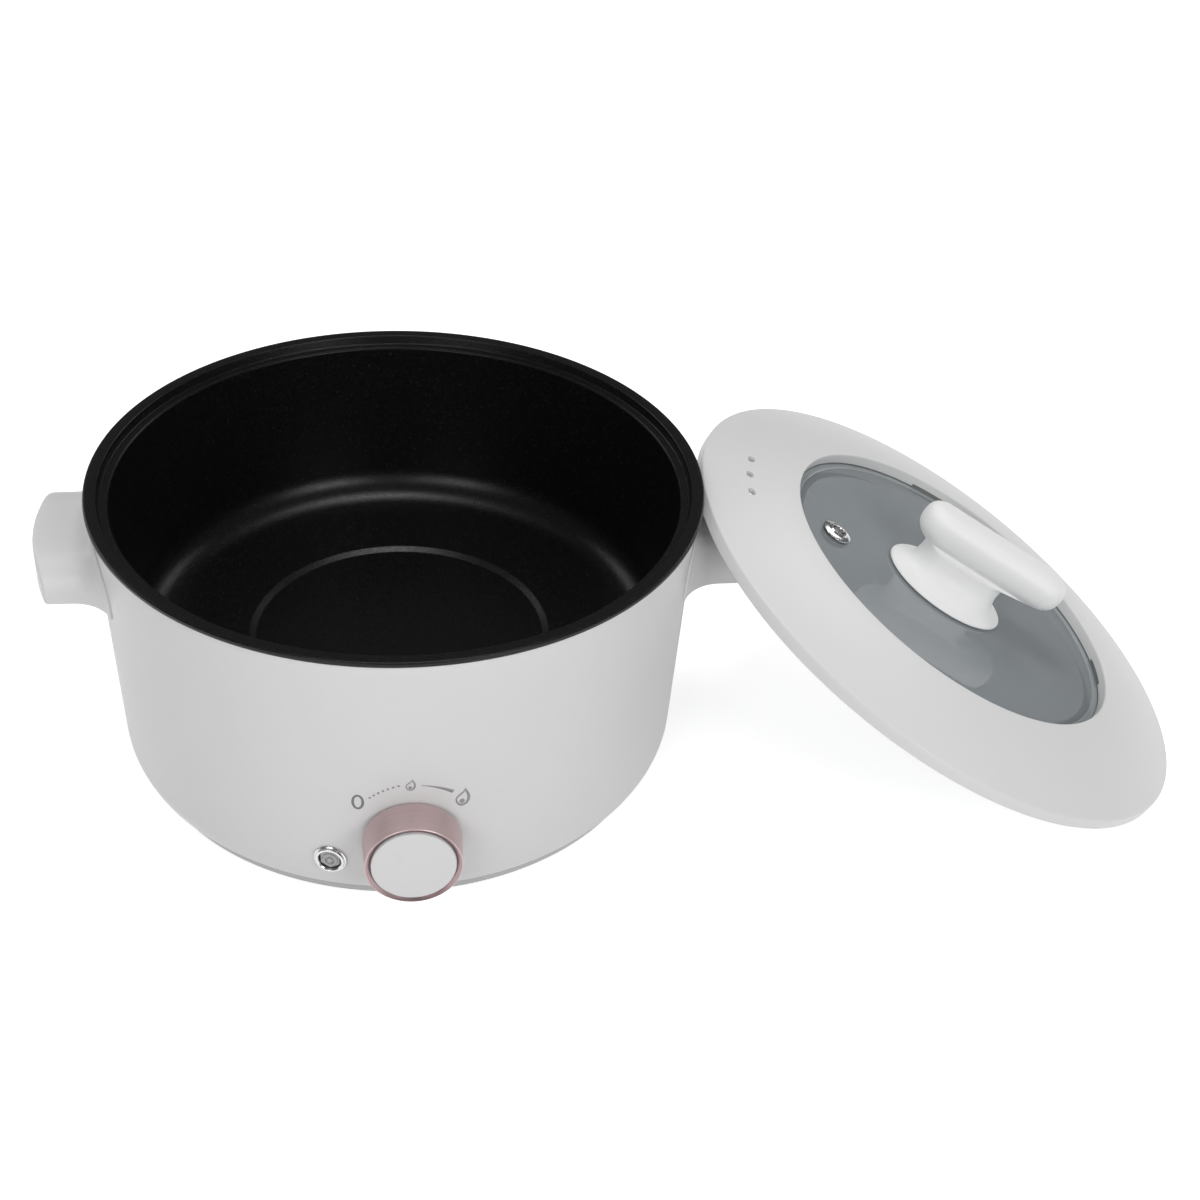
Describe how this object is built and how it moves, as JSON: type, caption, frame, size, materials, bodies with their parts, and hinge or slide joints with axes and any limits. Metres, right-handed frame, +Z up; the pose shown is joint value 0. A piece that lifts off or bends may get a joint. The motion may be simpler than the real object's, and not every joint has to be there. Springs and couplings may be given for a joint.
{
  "type": "electric hot pot",
  "caption": "Round white electric hot pot with a black non-stick cooking vessel, two ear handles, a front heat knob and a loose glass lid leaning on its side.",
  "frame": {"origin": "on the pot's vertical axis, in the plane of the table that the feet stand on", "axes": "+Z up along the pot's axis; the control knob faces -Y; the handles lie along X and the lid leans on the +X side"},
  "size_m": [0.5469, 0.2909, 0.144],
  "materials": {
    "white_plastic": "smooth white moulded polypropylene with a soft gloss",
    "nonstick_aluminium": "cast aluminium with a black satin non-stick coat",
    "white_silicone": "white silicone",
    "grey_plastic": "light grey moulded plastic, fine grained",
    "black_rubber": "black rubber",
    "grey_silicone": "dark grey silicone",
    "steel": "zinc plated steel",
    "aluminium": "bare aluminium",
    "tube_sheath": "oxidised steel sheath",
    "ceramic": "cream steatite",
    "chrome": "polished",
    "clear_plastic": "clear frosted lamp lens",
    "black_plastic": "black heat-proof plastic",
    "brass": "plated brass",
    "rose_metal": "rose tinted anodised aluminium, satin",
    "smoked_glass": "grey smoked toughened glass"
  },
  "bodies": {
    "cooker": {"outer_shell": "white_plastic", "inner_pot": "nonstick_aluminium", "rim_gasket": "white_silicone", "handle_left": "white_plastic", "handle_right": "white_plastic", "handle_screws": "steel", "base_cover": "grey_plastic", "rubber_feet": "black_rubber", "base_screws": "steel", "support_pillars": "steel", "pot_studs": "steel", "heating_plate": "aluminium", "heating_tube": "tube_sheath", "tube_terminals": "steel", "heat_shield": "aluminium", "thermal_fuse": "aluminium", "fuse_clip": "steel", "thermostat_body": "ceramic", "thermostat_screws": "steel", "lamp_bezel": "chrome", "lamp_lens": "clear_plastic", "lamp_holder": "black_plastic", "inlet_housing": "black_plastic", "inlet_pins": "brass", "inlet_screws": "steel"},
    "knob": {"thermostat_shaft": "steel", "knob_hub": "white_plastic", "knob_ring": "rose_metal", "knob_face": "white_plastic"},
    "lid": {"lid_frame": "white_plastic", "glass_seal": "grey_silicone", "lid_glass": "smoked_glass", "retaining_ring": "white_plastic", "retaining_screws": "steel", "steam_eyelet": "chrome", "eyelet_gasket": "grey_silicone", "lid_grip": "white_plastic", "grip_gasket": "grey_silicone", "grip_washer": "steel", "grip_screw": "steel"}
  },
  "joints": [
    {"name": "knob_turn", "type": "hinge", "parent": "cooker", "child": "knob", "pos_m": [0, -0.14, 0.0435], "axis": [0, 1, 0], "range_deg": [0, 90]},
    {"name": "lid_lift", "type": "slide", "parent": "cooker", "child": "lid", "axis": [0.4839, -0.0483, 0.8738], "range_m": [0, 0.2]}
  ]
}
